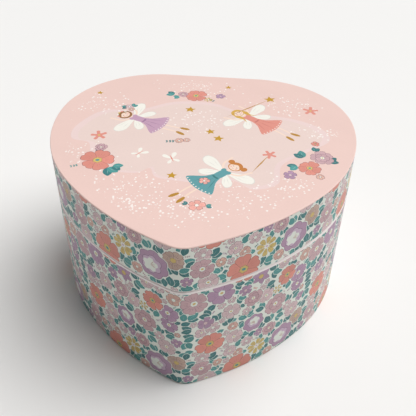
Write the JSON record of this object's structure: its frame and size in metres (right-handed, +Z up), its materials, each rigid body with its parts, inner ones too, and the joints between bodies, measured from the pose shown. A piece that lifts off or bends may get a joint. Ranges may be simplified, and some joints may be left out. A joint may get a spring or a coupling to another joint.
{
  "type": "wind-up music box",
  "caption": "Heart-shaped paper-covered music box with a hinged lid, mirror, ring rolls, turning dancer, comb movement and a winding key at the back.",
  "frame": {"origin": "on the underside, at the middle of the heart", "axes": "+Z up; -Y is the front, where the point of the heart is; +Y is the straight back with the hinges and the key; +X is to the right seen from the front"},
  "size_m": [0.1694, 0.1806, 0.1],
  "materials": {
    "floral_paper": "printed with small flowers in coral, mauve, pink and yellow with green leaves, satin",
    "pink_print": "printed pale pink sheet, satin",
    "grey_board": "uncoated grey board",
    "plain_paper": "uncoated off-white paper",
    "pink_lining": "pale pink laid paper, matt",
    "pink_velvet": "short pile velvet over foam",
    "flocked_card": "card with a short flocked pile",
    "brass": "polished and lacquered",
    "steel": "brushed",
    "cast_zinc": "as cast, satin",
    "mirror_glass": "silvered, clear",
    "white_plastic": "moulded, satin",
    "doll_plastic": "moulded and painted, satin",
    "skirt_plastic": "moulded in thin layers, translucent",
    "pearl_plastic": "pearl finish"
  },
  "bodies": {
    "base": {"underside_sheet": "plain_paper", "base_floor_board": "grey_board", "base_wall_board": "grey_board", "base_floral_wrap": "floral_paper", "base_lining": "pink_lining", "floor_pad": "flocked_card", "divider_left": "pink_lining", "divider_right": "pink_lining", "divider_front": "pink_lining", "deck_board": "flocked_card", "ring_bed": "grey_board", "ring_roll_1": "pink_velvet", "ring_roll_2": "pink_velvet", "ring_roll_3": "pink_velvet", "ring_roll_4": "pink_velvet", "hinge_left_base_leaf": "brass", "hinge_left_pin": "brass", "hinge_right_base_leaf": "brass", "hinge_right_pin": "brass", "movement_bedplate": "cast_zinc", "movement_screw_1": "steel", "movement_screw_2": "steel", "movement_screw_3": "steel", "key_grommet": "brass", "comb": "steel", "comb_screw_left": "steel", "comb_screw_right": "steel", "governor_bracket": "cast_zinc", "stop_spring": "steel", "stop_pin_guide": "white_plastic", "spindle_bushing": "white_plastic"},
    "lid": {"lid_wall_board": "grey_board", "lid_board": "grey_board", "lid_floral_wrap": "floral_paper", "lid_top_print": "pink_print", "lid_lining": "pink_lining", "mirror": "mirror_glass", "mirror_surround": "pink_print", "lid_stop_block": "grey_board", "hinge_left_lid_leaf": "brass", "hinge_right_lid_leaf": "brass"},
    "winder": {"winding_arbor": "steel", "winding_key": "steel"},
    "barrel": {"spring_barrel": "brass", "mainspring": "steel"},
    "cylinder": {"cylinder_arbor": "steel", "cylinder_pinion": "steel", "governor_wheel": "brass", "pinned_cylinder": "brass"},
    "governor": {"governor_worm": "steel", "air_fan": "white_plastic"},
    "stop": {"stop_pin": "white_plastic"},
    "turntable": {"figurine_spindle": "steel", "spindle_pinion": "steel", "turntable_disc": "white_plastic", "figurine_spring": "brass", "figurine_body": "doll_plastic", "figurine_tutu": "skirt_plastic", "figurine_wings": "pearl_plastic"}
  },
  "joints": [
    {"name": "lid_hinge", "type": "hinge", "parent": "base", "child": "lid", "pos_m": [0, 0.0822, 0.0719], "axis": [-1, 0, 0], "range_deg": [0, 100]},
    {"name": "key_wind", "type": "hinge", "parent": "base", "child": "winder", "pos_m": [0, 0.08, 0.027], "axis": [0, 1, 0], "continuous": true},
    {"name": "cylinder_turn", "type": "hinge", "parent": "base", "child": "cylinder", "pos_m": [0.02, 0.05367, 0.027], "axis": [1, 0, 0], "continuous": true},
    {"name": "barrel_turn", "type": "hinge", "parent": "base", "child": "barrel", "pos_m": [0, 0.065, 0.027], "axis": [0, 1, 0], "continuous": true},
    {"name": "turntable_turn", "type": "hinge", "parent": "base", "child": "turntable", "pos_m": [0, 0.05367, 0.05], "axis": [0, 0, 1], "continuous": true},
    {"name": "governor_turn", "type": "hinge", "parent": "base", "child": "governor", "pos_m": [0.0365, 0.06217, 0.034], "axis": [0, 0, 1], "continuous": true},
    {"name": "stop_slide", "type": "slide", "parent": "base", "child": "stop", "axis": [0, 0, 1], "range_m": [0, 0.004], "deforming": ["stop_spring"]}
  ],
  "couplings": [
    {"joint": "barrel_turn", "follows": "cylinder_turn", "ratio": -0.41667},
    {"joint": "turntable_turn", "follows": "cylinder_turn", "ratio": 1},
    {"joint": "governor_turn", "follows": "cylinder_turn", "ratio": -12},
    {"joint": "stop_slide", "follows": "lid_hinge", "m_per_rad": 0.00229}
  ]
}
